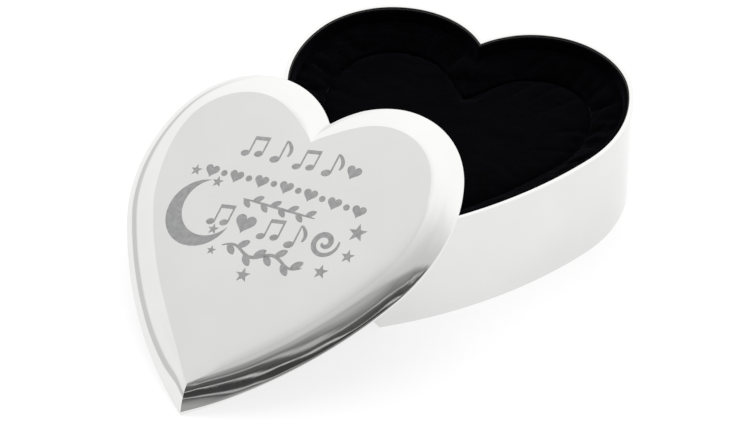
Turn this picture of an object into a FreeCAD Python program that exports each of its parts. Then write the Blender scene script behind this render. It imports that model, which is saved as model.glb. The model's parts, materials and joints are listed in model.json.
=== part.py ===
import FreeCAD, Part
import math
import os

# A heart-shaped keepsake box with a wind-up musical movement under its velvet floor.
# Everything is drawn in the box's own frame: Z = 0 is the table, the heart's tip points
# to -Y and the heart is centred on X = Y = 0. The loose lid is drawn flat in its own
# heart frame and then laid down beside the box, leaning on the rim. At the end the whole
# set is moved so that the middle of its footprint is the origin.

V = FreeCAD.Vector

# ---- heart outline: each half is three tangent arcs, from the notch to the tip ----
LOBE_R = 32.414
SHOULDER_R = 50.280
SIDE_R = 152.599
NOTCH_HEADING = 48.98
SHOULDER_HEADING = -69.52
SIDE_HEADING = -117.84
NOTCH_Y = 48.407

# ---- base ----
BASE_H = 38.2
WALL_T = 1.5
RIM_ROUND = 0.5
RIM_STEPS = 3
PLATE_Z = 6.5
PLATE_T = 1.0
FELT_T = 0.8
BOARD_Z = 25.2
BOARD_T = 1.5
COLLAR_BOARD_T = 0.6
COLLAR_VELVET_T = 1.0
COLLAR_GAP = 0.8
BOLSTER_W = 10.0
BOLSTER_H = 6.8
PAD_T = 2.0
PAD_GAP = 0.4
PILLAR_R = 3.0
PILLARS = [(-42, 22), (42, 22), (-24, -24), (24, -24)]
SOUND_HOLE_R = 2.0
SOUND_HOLES = [(-12, -18), (-4, -18), (4, -18), (12, -18), (-8, -25), (0, -25), (8, -25)]

# ---- lid, in its own frame: Z = 0 is its bottom rim ----
LID_LIP_H = 0.6
LID_LIP_DRAFT = 0.35
LID_EDGE = 0.05
LID_BEVEL_W = 9.0
LID_BEVEL_SLOPES = (42.0, 12.0)
LID_BEVEL_STEPS = 6
LID_DOME_H = 0.7
LID_DOME_W = 14.0
LID_SHELL_T = 1.0
PAN_Z = 2.0
PAN_T = 0.6
FLANGE_INSET = 4.2
PAN_INSET = 3.2
FLANGE_T = 0.8
FLANGE_DROP = 1.8
LID_BOARD_T = 0.9
LID_VELVET_T = 0.6
LID_LINING_GAP = 0.2

# where the loose lid lies: turned about Z, then Y, then X
LID_YAW = -13.13
LID_PITCH = -7.22
LID_ROLL = 26.53
LID_PLACE = V(-36.432, -65.534, 26.462)

# middle of the set's footprint, in the box's own frame
SET_MIDDLE = V(-15.94, -29.29, 0)

# ---- movement: u runs along the cylinder from the winding arbor, v across it ----
ARBOR_X = -14.0
ARBOR_Y = 10.0
BED_Z = PLATE_Z + PLATE_T
BED_T = 1.8
BED_U = (-11.5, 39.5)
BED_V = (-19.5, 17.0)
BED_CORNER_R = 2.5
RUN_GAP = 0.05

HOUSING_R = 10.2
HOUSING_T = 0.6
HOUSING_H = 4.3
ARBOR_R = 1.5
SPRING_T = 0.25
SPRING_TURNS = 7
SPRING_IN_R = 2.2
SPRING_OUT_R = 9.2

AXIS_Z = 18.7
CROWN_TEETH = 30
CROWN_R = 9.0
CROWN_FACE = 1.8
CROWN_DISC_T = 1.0
PINION_TEETH = 10
PINION_MODULE = 0.6
PINION_FACE = 1.2

DRUM_R = 5.0
DRUM_T = 0.6
DRUM_U = (12.2, 31.2)
DRUM_ARBOR_R = 0.8
CAP_T = 1.0
NOTES = 18
PIN_H = 0.5
PIN_SIDE = 0.34
PINS_PER_NOTE = 6

FINE_MODULE = 0.4
DRUM_GEAR_TEETH = 24
DRUM_GEAR_U = (32.0, 33.2)
GOV_PINION_TEETH = 8
GOV_SHAFT_R = 0.5
GOV_V = 6.0
WORM_WHEEL_TEETH = 20
WORM_WHEEL_U = (35.6, 36.6)
WORM_PITCH_R = 1.2
WORM_ROOT_R = 0.65
WORM_TIP_R = 1.55
WORM_TURNS = 5  # odd, so that a gap of the thread faces the wheel's middle tooth
WORM_SHAFT_R = 0.45
FAN_R = 3.0
FAN_Z = (20.9, 23.5)
MOVEMENT_TOP = 24.5

COMB_T = 1.0
TINE_T = 0.5
TINE_GAP = 0.24
PLUCK_GAP = 0.15
COMB_BACK_V = -19.0
COMB_ROOT_V = -13.0
SCREW_R = 1.2
SCREW_HEAD_R = 2.1
SCREW_HEAD_H = 1.3

KEY_Z = (1.0, 5.0)
KEY_BOSS_R = 3.0
KEY_WING_T = 1.6
KEY_SPAN = 22.0
FOOT_SCREWS = [(-8.5, -17.0), (36.5, -17.0), (12.0, 14.0)]


# ------------------------------------------------------------------ heart geometry
def heart_arcs():
    """The right half's arcs, clockwise from the notch: centre x, centre y, radius, headings."""
    arcs = []
    x, y = 0.0, NOTCH_Y
    headings = [NOTCH_HEADING, SHOULDER_HEADING, SIDE_HEADING]
    headings = [math.radians(h) for h in headings]
    for radius, start, end in zip(
        (LOBE_R, SHOULDER_R, SIDE_R), headings, headings[1:] + [None]
    ):
        cx = x + radius * math.sin(start)
        cy = y - radius * math.cos(start)
        if end is not None:
            x = cx - radius * math.sin(end)
            y = cy + radius * math.cos(end)
        arcs.append((cx, cy, radius, start, end))
    return arcs


def arc_point(cx, cy, radius, heading, z):
    return V(cx - radius * math.sin(heading), cy + radius * math.cos(heading), z)


def flipped(point):
    return V(-point.x, point.y, point.z)


def heart_wire(inset, z, mitred=True):
    """The outline moved inward by inset. At the notch its arcs are joined by straight
    mitres, or they run on to the centre line, which suits a small inset."""
    mitred = mitred and inset > 0
    runs = []
    for cx, cy, radius, start, end in heart_arcs():
        radius -= inset
        if not runs and not mitred:
            start = math.asin(cx / radius)
        if end is None:
            end = -math.pi - math.asin(cx / radius)
        angles = (start, (start + end) / 2, end)
        runs.append([arc_point(cx, cy, radius, a, z) for a in angles])
    right = [Part.Arc(*run).toShape() for run in runs]
    left = [Part.Arc(*[flipped(p) for p in reversed(run)]).toShape() for run in runs]
    if mitred:
        notch = V(0, NOTCH_Y - inset / math.cos(math.radians(NOTCH_HEADING)), z)
        first = runs[0][0]
        right.insert(0, Part.LineSegment(notch, first).toShape())
        left.insert(0, Part.LineSegment(flipped(first), notch).toShape())
    return Part.Wire(right + left[::-1])


def heart_prism(inset, low, high):
    return Part.Face(heart_wire(inset, low)).extrude(V(0, 0, high - low))


def heart_ring(outer, inner, low, high):
    return heart_prism(outer, low, high).cut(heart_prism(inner, low, high))


def heart_loft(profile, mitred=True):
    """A solid through heart outlines, given as (inset, z) from its bottom to its top."""
    return Part.makeLoft([heart_wire(inset, z, mitred) for inset, z in profile], True, True)


# ------------------------------------------------------------------ small helpers
def rod(radius, start, along, length):
    return Part.makeCylinder(radius, length, start, along)


def block(low, high):
    size = high - low
    return Part.makeBox(size.x, size.y, size.z, low)


def at(u, v, z):
    """A point of the movement, in the box's own frame."""
    return V(ARBOR_X + u, ARBOR_Y + v, z)


def along_x(radius, u_span, v, z):
    start = at(u_span[0], v, z)
    return rod(radius, start, V(1, 0, 0), u_span[1] - u_span[0])


def upright(radius, u, v, z_span):
    return rod(radius, at(u, v, z_span[0]), V(0, 0, 1), z_span[1] - z_span[0])


def slab(u_span, v_span, z_span):
    return block(at(u_span[0], v_span[0], z_span[0]), at(u_span[1], v_span[1], z_span[1]))


def gear_face(teeth, module, thin, phase):
    """A toothed outline in the YZ plane about X. thin is taken off each tooth's width, and
    phase turns the first tooth, in tooth pitches."""
    pitch_r = module * teeth / 2
    root_r = pitch_r - 1.2 * module
    tip_r = pitch_r + 0.9 * module
    step = 2 * math.pi / teeth
    half = (step * pitch_r / 2 - thin) / pitch_r / 2
    points = []
    for i in range(teeth):
        middle = (i + phase) * step
        for radius, turn in (
            (root_r, -1.45 * half),
            (tip_r, -0.5 * half),
            (tip_r, 0.5 * half),
            (root_r, 1.45 * half),
        ):
            angle = middle + turn
            points.append(V(0, radius * math.cos(angle), radius * math.sin(angle)))
    return Part.Face(Part.makePolygon(points + points[:1]))


def gear(teeth, module, thin, phase, u_span, v, z, bore_r):
    blank = gear_face(teeth, module, thin, phase).extrude(V(u_span[1] - u_span[0], 0, 0))
    blank.translate(at(u_span[0], v, z))
    return blank.cut(along_x(bore_r, u_span, v, z))


def screw(u, v, head_z, tip_z):
    """A slotted pan-head screw whose head sits above head_z, or below it if tip_z is higher."""
    up = 1 if tip_z < head_z else -1
    axis = V(0, 0, up)
    head = rod(SCREW_HEAD_R, at(u, v, head_z), axis, SCREW_HEAD_H)
    head = head.makeFillet(0.35, [e for e in head.Edges if end_rim(e, head_z + up * SCREW_HEAD_H)])
    shank = rod(SCREW_R, at(u, v, head_z), V(0, 0, -up), abs(head_z - tip_z))
    slot_z = sorted((head_z + up * SCREW_HEAD_H / 2, head_z + up * 2 * SCREW_HEAD_H))
    slot = slab((u - SCREW_HEAD_R, u + SCREW_HEAD_R), (v - 0.25, v + 0.25), slot_z)
    return head.fuse(shank).cut(slot)


def end_rim(edge, z):
    """Whether an edge is a whole circle at height z."""
    box = edge.BoundBox
    return abs(box.ZMin - z) < 1e-6 and abs(box.ZMax - z) < 1e-6 and box.XLength > 0.1


# ------------------------------------------------------------------ base
def base_wall():
    """The band of sheet metal, with its outer rim rounded over."""
    profile = [(0, 0)]
    for i in range(RIM_STEPS + 1):
        turn = math.pi / 2 * i / RIM_STEPS
        inset = RIM_ROUND * (1 - math.cos(turn))
        profile.append((inset, BASE_H - RIM_ROUND * (1 - math.sin(turn))))
    return heart_loft(profile, mitred=False).cut(heart_prism(WALL_T, 0, BASE_H))


def plate_holes(low, high, arbor_r, screw_r):
    holes = [upright(arbor_r, 0, 0, (low, high))]
    for u, v in FOOT_SCREWS:
        holes.append(upright(screw_r, u, v, (low, high)))
    for x, y in SOUND_HOLES:
        holes.append(rod(SOUND_HOLE_R, V(x, y, low), V(0, 0, 1), high - low))
    return holes


def base_plate():
    top = PLATE_Z + PLATE_T
    plate = heart_prism(WALL_T, PLATE_Z, top)
    return plate.cut(plate_holes(PLATE_Z, top, ARBOR_R + 0.4, SCREW_R))


def base_felt():
    low = PLATE_Z - FELT_T
    felt = heart_prism(WALL_T, low, PLATE_Z)
    return felt.cut(plate_holes(low, PLATE_Z, KEY_BOSS_R + 0.6, SCREW_HEAD_R + 0.3))


def false_floor_board():
    return heart_prism(WALL_T, BOARD_Z, BOARD_Z + BOARD_T)


def floor_pillars():
    span = BOARD_Z - BED_Z
    return Part.makeCompound([rod(PILLAR_R, V(x, y, BED_Z), V(0, 0, 1), span) for x, y in PILLARS])


def collar(outer, thickness):
    return heart_ring(outer, outer + thickness, BOARD_Z + BOARD_T, BASE_H - COLLAR_GAP)


def rim_bolster():
    """The padded roll round the tray, highest near the wall and falling to the floor pad."""
    low = BOARD_Z + BOARD_T
    outer = WALL_T + COLLAR_BOARD_T + COLLAR_VELVET_T
    crest = low + BOLSTER_H
    profile = [
        (outer, low),
        (outer, crest - 0.6),
        (outer + 0.2 * BOLSTER_W, crest),
        (outer + 0.5 * BOLSTER_W, crest - 0.7),
        (outer + 0.8 * BOLSTER_W, crest - 2.6),
        (outer + BOLSTER_W, low + PAD_T),
    ]
    inner = heart_prism(outer + BOLSTER_W, low, low + PAD_T)
    return heart_loft(profile).cut(inner)


def floor_pad():
    low = BOARD_Z + BOARD_T
    edge = WALL_T + COLLAR_BOARD_T + COLLAR_VELVET_T + BOLSTER_W + PAD_GAP
    return heart_prism(edge, low, low + PAD_T)


# ------------------------------------------------------------------ lid
def lid_profile(inward):
    """The lid's outer profile as (inset, z), or the same profile moved inward: a short lip,
    a shoulder that is one arc, a crease, and a low dome."""
    start, end = [math.radians(slope) for slope in LID_BEVEL_SLOPES]
    radius = LID_BEVEL_W / (math.sin(start) - math.sin(end))
    points = [(LID_EDGE + 1.2 * inward, 0)]
    for i in range(LID_BEVEL_STEPS + 1):
        slope = start + (end - start) * i / LID_BEVEL_STEPS
        across = LID_LIP_DRAFT + radius * (math.sin(start) - math.sin(slope))
        up = LID_LIP_H + radius * (math.cos(slope) - math.cos(start))
        inset = LID_EDGE + across + inward * math.sin(slope)
        z = up - inward * math.cos(slope)
        if z > 0.2:
            points.append((inset, z))
    points.append((inset + LID_DOME_W, z + LID_DOME_H))
    return points


def lid_shell():
    return heart_loft(lid_profile(0)).cut(heart_loft(lid_profile(LID_SHELL_T)))


def lid_pan(shell):
    """A pressed inner pan with a locating flange that drops inside the base's collar."""
    plate = heart_prism(PAN_INSET, PAN_Z, PAN_Z + PAN_T).cut(shell)
    flange = heart_ring(FLANGE_INSET, FLANGE_INSET + FLANGE_T, -FLANGE_DROP, PAN_Z)
    return plate.fuse(flange).removeSplitter()


def lid_lining_board():
    inset = FLANGE_INSET + FLANGE_T + LID_LINING_GAP
    return heart_prism(inset, PAN_Z - LID_BOARD_T, PAN_Z)


def lid_lining_velvet():
    inset = FLANGE_INSET + FLANGE_T + LID_LINING_GAP
    top = PAN_Z - LID_BOARD_T
    return heart_prism(inset, top - LID_VELVET_T, top)


# ------------------------------------------------------------------ movement, fixed pieces
def movement_bedplate():
    bed = slab(BED_U, BED_V, (BED_Z, BED_Z + BED_T))
    corners = [e for e in bed.Edges if e.BoundBox.ZLength > BED_T - 1e-6]
    bed = bed.makeFillet(BED_CORNER_R, corners)
    bed = bed.cut(upright(ARBOR_R + RUN_GAP, 0, 0, (BED_Z, BED_Z + BED_T)))
    screws = [upright(SCREW_R, u, v, (BED_Z, BED_Z + BED_T)) for u, v in FOOT_SCREWS]
    return bed.cut(screws)


def spring_housing():
    low, high = BED_Z + BED_T, BED_Z + BED_T + HOUSING_H
    cup = upright(HOUSING_R, 0, 0, (low, high))
    cup = cup.makeFillet(0.8, [e for e in cup.Edges if end_rim(e, high)])
    hollow = upright(HOUSING_R - HOUSING_T, 0, 0, (low, high - HOUSING_T))
    return cup.cut([hollow, upright(ARBOR_R + RUN_GAP, 0, 0, (low, high))])


def spiral(offset, z):
    steps = SPRING_TURNS * 16
    points = []
    for i in range(steps + 1):
        turn = 2 * math.pi * SPRING_TURNS * i / steps
        radius = SPRING_IN_R + (SPRING_OUT_R - SPRING_IN_R) * i / steps + offset
        points.append(at(radius * math.cos(turn), radius * math.sin(turn), z))
    curve = Part.BSplineCurve()
    curve.interpolate(points)
    return curve.toShape(), points[0], points[-1]


def mainspring():
    low = BED_Z + BED_T + 0.1
    high = BED_Z + BED_T + HOUSING_H - HOUSING_T - 0.2
    inner, inner_start, inner_end = spiral(-SPRING_T / 2, low)
    outer, outer_start, outer_end = spiral(SPRING_T / 2, low)
    start = Part.LineSegment(outer_start, inner_start).toShape()
    end = Part.LineSegment(inner_end, outer_end).toShape()
    return Part.Face(Part.Wire([start, inner, end, outer])).extrude(V(0, 0, high - low))


def comb_rail():
    rail = slab((DRUM_U[0] - 0.6, DRUM_U[1] + 0.6), (COMB_BACK_V, COMB_ROOT_V), comb_rail_z())
    return rail.cut([upright(SCREW_R, u, comb_screw_v(), (12, comb_rail_z()[1])) for u in comb_screw_u()])


def comb_rail_z():
    return (BED_Z + BED_T, AXIS_Z - TINE_T / 2)


def comb_screw_u():
    middle = (DRUM_U[0] + DRUM_U[1]) / 2
    return [middle - 6.5, middle, middle + 6.5]


def comb_screw_v():
    return (COMB_BACK_V + COMB_ROOT_V) / 2


def comb():
    """A steel plate cut into tuned tines, the longest for the lowest note."""
    low = AXIS_Z - TINE_T / 2
    body = slab(DRUM_U, (COMB_BACK_V, COMB_ROOT_V), (low, low + COMB_T))
    pitch = (DRUM_U[1] - DRUM_U[0]) / NOTES
    tip_v = -(DRUM_R + PIN_H + PLUCK_GAP)
    tines = []
    for i in range(NOTES):
        u = DRUM_U[0] + i * pitch + TINE_GAP / 2
        root_v = COMB_ROOT_V + 2.6 * i / (NOTES - 1)
        foot = slab((u, u + pitch - TINE_GAP), (COMB_ROOT_V - 0.1, root_v), (low, low + COMB_T))
        blade = slab((u, u + pitch - TINE_GAP), (COMB_ROOT_V - 0.1, tip_v), (low, low + TINE_T))
        tines += [foot, blade]
    plate = body.multiFuse(tines).removeSplitter()
    holes = [upright(SCREW_R, u, comb_screw_v(), (low, low + COMB_T)) for u in comb_screw_u()]
    return plate.cut(holes)


def comb_screws():
    head_z = AXIS_Z - TINE_T / 2 + COMB_T
    return Part.makeCompound([screw(u, comb_screw_v(), head_z, 12) for u in comb_screw_u()])


def governor_z():
    """Height of the governor wheel's axis, one centre distance from the drum's."""
    reach = FINE_MODULE * (DRUM_GEAR_TEETH + GOV_PINION_TEETH) / 2
    return AXIS_Z - math.sqrt(reach**2 - GOV_V**2)


def bearing_plate(u_span, v_span, top, bearings):
    plate = slab(u_span, v_span, (BED_Z + BED_T, top))
    return plate.cut([along_x(radius + RUN_GAP, u_span, v, z) for radius, v, z in bearings])


def left_bearing_bracket():
    return bearing_plate((10.6, 11.4), (-2.6, 2.6), AXIS_Z + 2.4, [(DRUM_ARBOR_R, 0, AXIS_Z)])


def right_bearing_bracket():
    bearings = [(DRUM_ARBOR_R, 0, AXIS_Z), (GOV_SHAFT_R, GOV_V, governor_z())]
    return bearing_plate((34.0, 34.8), (-2.6, 8.2), AXIS_Z + 2.0, bearings)


def outer_bearing_plate():
    bearings = [(GOV_SHAFT_R, GOV_V, governor_z())]
    return bearing_plate((37.4, 38.2), (3.6, 8.2), governor_z() + 2.2, bearings)


def worm_u():
    return (WORM_WHEEL_U[0] + WORM_WHEEL_U[1]) / 2


def worm_v():
    return GOV_V + FINE_MODULE * WORM_WHEEL_TEETH / 2 + WORM_PITCH_R


def governor_frame():
    """A C-shaped bracket that holds the worm shaft between its foot and its arm."""
    u_span = (worm_u() - 2.4, worm_u() + 2.4)
    front_v, post_v, back_v = worm_v() - 1.2, worm_v() + FAN_R + 0.5, BED_V[1] - 1.0
    floor_z = BED_Z + BED_T
    post = slab(u_span, (post_v, back_v), (floor_z, MOVEMENT_TOP))
    foot = slab(u_span, (front_v, back_v), (floor_z, floor_z + 1.2))
    arm = slab(u_span, (front_v, back_v), (MOVEMENT_TOP - 0.7, MOVEMENT_TOP))
    bearing = upright(WORM_SHAFT_R + RUN_GAP, worm_u(), worm_v(), (floor_z, MOVEMENT_TOP))
    return post.multiFuse([foot, arm]).removeSplitter().cut(bearing)


def movement_screws():
    """Screws from under the base plate up into the bedplate, heads in the felt."""
    return Part.makeCompound([screw(u, v, PLATE_Z, BED_Z + BED_T - 0.3) for u, v in FOOT_SCREWS])


# ------------------------------------------------------------------ movement, winding side
def winding_arbor():
    return upright(ARBOR_R, 0, 0, (KEY_Z[0] + 0.6, 16.6))


def winding_key():
    """A low two-winged key, screwed on the arbor in the recess under the base."""
    boss = upright(KEY_BOSS_R, 0, 0, KEY_Z)
    wings = []
    for side in (-1, 1):
        reach = side * (KEY_SPAN / 2 - 2.6)
        middle_z = (KEY_Z[0] + KEY_Z[1]) / 2
        neck = slab(sorted((0, reach)), (-KEY_WING_T / 2, KEY_WING_T / 2), (middle_z - 1.3, middle_z + 1.3))
        centre = at(reach, -KEY_WING_T / 2, middle_z)
        lobe = rod((KEY_Z[1] - KEY_Z[0]) / 2, centre, V(0, 1, 0), KEY_WING_T)
        wings += [neck, lobe]
    key = boss.multiFuse(wings).removeSplitter()
    return key.cut(upright(ARBOR_R, 0, 0, (KEY_Z[0] + 0.6, KEY_Z[1])))


def great_wheel():
    """A contrate wheel on the arbor, with its teeth standing up round the edge."""
    pitch_z = AXIS_Z - PINION_MODULE * PINION_TEETH / 2
    root_z = pitch_z - 1.2 * PINION_MODULE
    tip_z = pitch_z + 0.8 * PINION_MODULE
    disc = upright(CROWN_R + CROWN_FACE / 2, 0, 0, (root_z - CROWN_DISC_T, root_z))
    hub = upright(3.0, 0, 0, (root_z - CROWN_DISC_T, root_z + 1.0))
    pitch = 2 * math.pi * CROWN_R / CROWN_TEETH
    root_half, tip_half = 0.26 * pitch, 0.10 * pitch
    teeth = []
    for i in range(CROWN_TEETH):
        outline = [
            V(CROWN_R - CROWN_FACE / 2, y, z)
            for y, z in (
                (-root_half, root_z - 0.1),
                (-tip_half, tip_z),
                (tip_half, tip_z),
                (root_half, root_z - 0.1),
            )
        ]
        tooth = Part.Face(Part.makePolygon(outline + outline[:1])).extrude(V(CROWN_FACE * 0.98, 0, 0))
        tooth.rotate(V(0, 0, 0), V(0, 0, 1), (i + 0.5) * 360 / CROWN_TEETH)
        tooth.translate(at(0, 0, 0))
        teeth.append(tooth)
    wheel = disc.multiFuse([hub] + teeth)
    windows = []
    for i in range(3):
        turn = 2 * math.pi * (i + 0.5) / 3
        windows.append(
            upright(1.7, 5.4 * math.cos(turn), 5.4 * math.sin(turn), (root_z - 2, root_z + 1))
        )
    return wheel.cut(windows + [upright(ARBOR_R, 0, 0, (root_z - 2, root_z + 2))])


# ------------------------------------------------------------------ movement, drum side
def drum():
    """The pinned cylinder: a thin tube with raised pins, one track for each note."""
    tube = along_x(DRUM_R, DRUM_U, 0, AXIS_Z)
    pitch = (DRUM_U[1] - DRUM_U[0]) / NOTES
    pins = []
    for i in range(NOTES):
        u = DRUM_U[0] + (i + 0.5) * pitch
        for k in range(PINS_PER_NOTE):
            # the tracks' pins are spread by a fixed uneven rule, like a tune's notes
            turn = 360 * (k + ((i * 7 + k * k * 3) % 11) / 14) / PINS_PER_NOTE + 15
            pin = block(
                V(u - PIN_SIDE / 2, -PIN_SIDE / 2, DRUM_R - DRUM_T / 2),
                V(u + PIN_SIDE / 2, PIN_SIDE / 2, DRUM_R + PIN_H),
            )
            pin.rotate(V(0, 0, 0), V(1, 0, 0), turn)
            pin.translate(at(0, 0, AXIS_Z))
            pins.append(pin)
    return tube.multiFuse(pins).cut(along_x(DRUM_R - DRUM_T, DRUM_U, 0, AXIS_Z))


def drum_arbor():
    return along_x(DRUM_ARBOR_R, (7.9, 35.2), 0, AXIS_Z)


def drum_end_caps():
    spans = [(DRUM_U[0], DRUM_U[0] + CAP_T), (DRUM_U[1] - CAP_T, DRUM_U[1])]
    caps = [
        along_x(DRUM_R - DRUM_T, span, 0, AXIS_Z).cut(along_x(DRUM_ARBOR_R, span, 0, AXIS_Z))
        for span in spans
    ]
    return Part.makeCompound(caps)


def drum_pinion():
    u_span = (CROWN_R - PINION_FACE / 2, CROWN_R + PINION_FACE / 2)
    # a tooth points straight down, between two teeth of the great wheel
    return gear(PINION_TEETH, PINION_MODULE, 0.3, -PINION_TEETH / 4, u_span, 0, AXIS_Z, DRUM_ARBOR_R)


def mesh_angle():
    """Direction from the drum's axis to the governor shaft, about +X from +Y."""
    return math.atan2(governor_z() - AXIS_Z, GOV_V)


def drum_gear():
    phase = mesh_angle() / (2 * math.pi) * DRUM_GEAR_TEETH
    return gear(DRUM_GEAR_TEETH, FINE_MODULE, 0.12, phase, DRUM_GEAR_U, 0, AXIS_Z, DRUM_ARBOR_R)


# ------------------------------------------------------------------ movement, governor
def governor_shaft():
    return along_x(GOV_SHAFT_R, (31.7, 38.0), GOV_V, governor_z())


def governor_pinion():
    # half a pitch round from the drum gear's tooth, so that a gap faces it
    phase = (mesh_angle() + math.pi) / (2 * math.pi) * GOV_PINION_TEETH + 0.5
    return gear(
        GOV_PINION_TEETH, FINE_MODULE, 0.12, phase, DRUM_GEAR_U, GOV_V, governor_z(), GOV_SHAFT_R
    )


def worm_wheel():
    return gear(
        WORM_WHEEL_TEETH, FINE_MODULE, 0.16, 0, WORM_WHEEL_U, GOV_V, governor_z(), GOV_SHAFT_R
    )


def governor_worm():
    """A one-start right-hand worm on its shaft."""
    lead = math.pi * FINE_MODULE
    low = governor_z() - WORM_TURNS * lead / 2
    crest_half, foot_half = 0.10 * lead, 0.22 * lead
    profile = [
        V(WORM_ROOT_R - 0.05, 0, -foot_half),
        V(WORM_TIP_R, 0, -crest_half),
        V(WORM_TIP_R, 0, crest_half),
        V(WORM_ROOT_R - 0.05, 0, foot_half),
    ]
    helix = Part.makeHelix(lead, WORM_TURNS * lead, WORM_PITCH_R)
    section = Part.makePolygon(profile + profile[:1])
    thread = Part.Wire(helix.Edges).makePipeShell([section], True, True)
    # the helix starts on +X at its foot, and the wheel lies on the worm's -Y side
    thread.rotate(V(0, 0, 0), V(0, 0, 1), -90)
    thread.translate(at(worm_u(), worm_v(), low))
    core = upright(WORM_ROOT_R, worm_u(), worm_v(), (low - 0.6, low + WORM_TURNS * lead + 0.6))
    shaft = upright(WORM_SHAFT_R, worm_u(), worm_v(), (BED_Z + BED_T + 0.2, MOVEMENT_TOP - 0.1))
    return core.fuse(thread).fuse(shaft)


def governor_fan():
    """Two thin air vanes on a boss near the top of the worm shaft."""
    boss = upright(1.0, worm_u(), worm_v(), FAN_Z)
    vane = slab(
        (worm_u() - FAN_R, worm_u() + FAN_R), (worm_v() - 0.15, worm_v() + 0.15), (FAN_Z[0] + 0.3, FAN_Z[1])
    )
    return boss.fuse(vane).cut(upright(WORM_SHAFT_R, worm_u(), worm_v(), FAN_Z))


# ------------------------------------------------------------------ assembly
def base_nodes():
    first = WALL_T + COLLAR_BOARD_T
    return {
        "base_wall": base_wall(),
        "base_plate": base_plate(),
        "base_felt": base_felt(),
        "false_floor_board": false_floor_board(),
        "floor_pillars": floor_pillars(),
        "collar_board": collar(WALL_T, COLLAR_BOARD_T),
        "collar_velvet": collar(first, COLLAR_VELVET_T),
        "rim_bolster": rim_bolster(),
        "floor_pad": floor_pad(),
    }


def movement_nodes():
    makers = (
        movement_bedplate,
        spring_housing,
        mainspring,
        comb_rail,
        comb,
        comb_screws,
        left_bearing_bracket,
        right_bearing_bracket,
        outer_bearing_plate,
        governor_frame,
        movement_screws,
        winding_arbor,
        winding_key,
        great_wheel,
        drum,
        drum_arbor,
        drum_end_caps,
        drum_pinion,
        drum_gear,
        governor_shaft,
        governor_pinion,
        worm_wheel,
        governor_worm,
        governor_fan,
    )
    return {make.__name__: make() for make in makers}


def lid_nodes():
    shell = lid_shell()
    nodes = {
        "lid_shell": shell,
        "lid_pan": lid_pan(shell),
        "lid_lining_board": lid_lining_board(),
        "lid_lining_velvet": lid_lining_velvet(),
    }
    turn = FreeCAD.Rotation(LID_YAW, LID_PITCH, LID_ROLL)
    for shape in nodes.values():
        shape.Placement = FreeCAD.Placement(LID_PLACE, turn).multiply(shape.Placement)
    return nodes


def build():
    nodes = {**base_nodes(), **movement_nodes(), **lid_nodes()}
    for shape in nodes.values():
        shape.translate(-SET_MIDDLE)
    return nodes


def main():
    os.makedirs("parts", exist_ok=True)
    for name, shape in build().items():
        shape.exportStep(os.path.join("parts", name + ".step"))
        print(f"{name}: {len(shape.Solids)} solid(s), {shape.Volume:.1f} mm3, valid {shape.isValid()}")


if __name__ == "__main__":
    main()
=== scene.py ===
import json
import math

import bmesh
import bpy
import numpy as np
from mathutils import Euler, Matrix, Vector
from mathutils.bvhtree import BVHTree
from mathutils.geometry import tessellate_polygon
from mathutils.kdtree import KDTree


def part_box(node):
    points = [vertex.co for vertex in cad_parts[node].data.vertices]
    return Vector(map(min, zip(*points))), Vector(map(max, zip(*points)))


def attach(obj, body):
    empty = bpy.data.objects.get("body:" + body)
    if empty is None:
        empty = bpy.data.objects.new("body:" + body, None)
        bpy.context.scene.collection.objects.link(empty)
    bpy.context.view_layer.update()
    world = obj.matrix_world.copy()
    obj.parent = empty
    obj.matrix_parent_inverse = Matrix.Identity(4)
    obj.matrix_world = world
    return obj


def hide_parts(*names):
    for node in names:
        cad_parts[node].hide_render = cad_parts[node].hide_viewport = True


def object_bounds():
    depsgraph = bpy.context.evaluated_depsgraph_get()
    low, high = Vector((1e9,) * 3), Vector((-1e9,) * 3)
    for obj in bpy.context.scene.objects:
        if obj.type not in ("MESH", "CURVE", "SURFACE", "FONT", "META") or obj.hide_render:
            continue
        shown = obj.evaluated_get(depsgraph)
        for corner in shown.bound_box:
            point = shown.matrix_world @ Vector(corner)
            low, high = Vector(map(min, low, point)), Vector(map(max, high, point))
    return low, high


# A silver plated heart box with a padded black velvet tray, its loose lid laid beside it.
# The CAD frame holds the parts in their places. This script dresses them: smooth plated
# skins for the wall and the lid, an etched ornament, padded velvet, and a finish for every
# part. The sizes that the skins share with the CAD parts are given again below.

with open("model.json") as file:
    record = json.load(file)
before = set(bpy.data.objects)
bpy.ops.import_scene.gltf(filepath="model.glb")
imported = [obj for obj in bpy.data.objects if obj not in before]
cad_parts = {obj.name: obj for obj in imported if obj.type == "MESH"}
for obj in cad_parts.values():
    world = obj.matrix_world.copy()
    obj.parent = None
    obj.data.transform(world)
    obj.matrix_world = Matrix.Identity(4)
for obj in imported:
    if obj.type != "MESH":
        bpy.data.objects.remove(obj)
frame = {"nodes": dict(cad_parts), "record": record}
cad_low, cad_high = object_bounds()

MM = 0.001

# ---- heart outline, in millimetres: each half is three tangent arcs from notch to tip ----
ARC_R = (32.414, 50.280, 152.599)
ARC_HEADINGS = tuple(math.radians(h) for h in (48.98, -69.52, -117.84))
NOTCH_Y = 48.407
HEART_MIDDLE = (0.0, -2.0)
ARC_STEPS = (44, 34, 40)
MITRE_STEPS = 6

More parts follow.
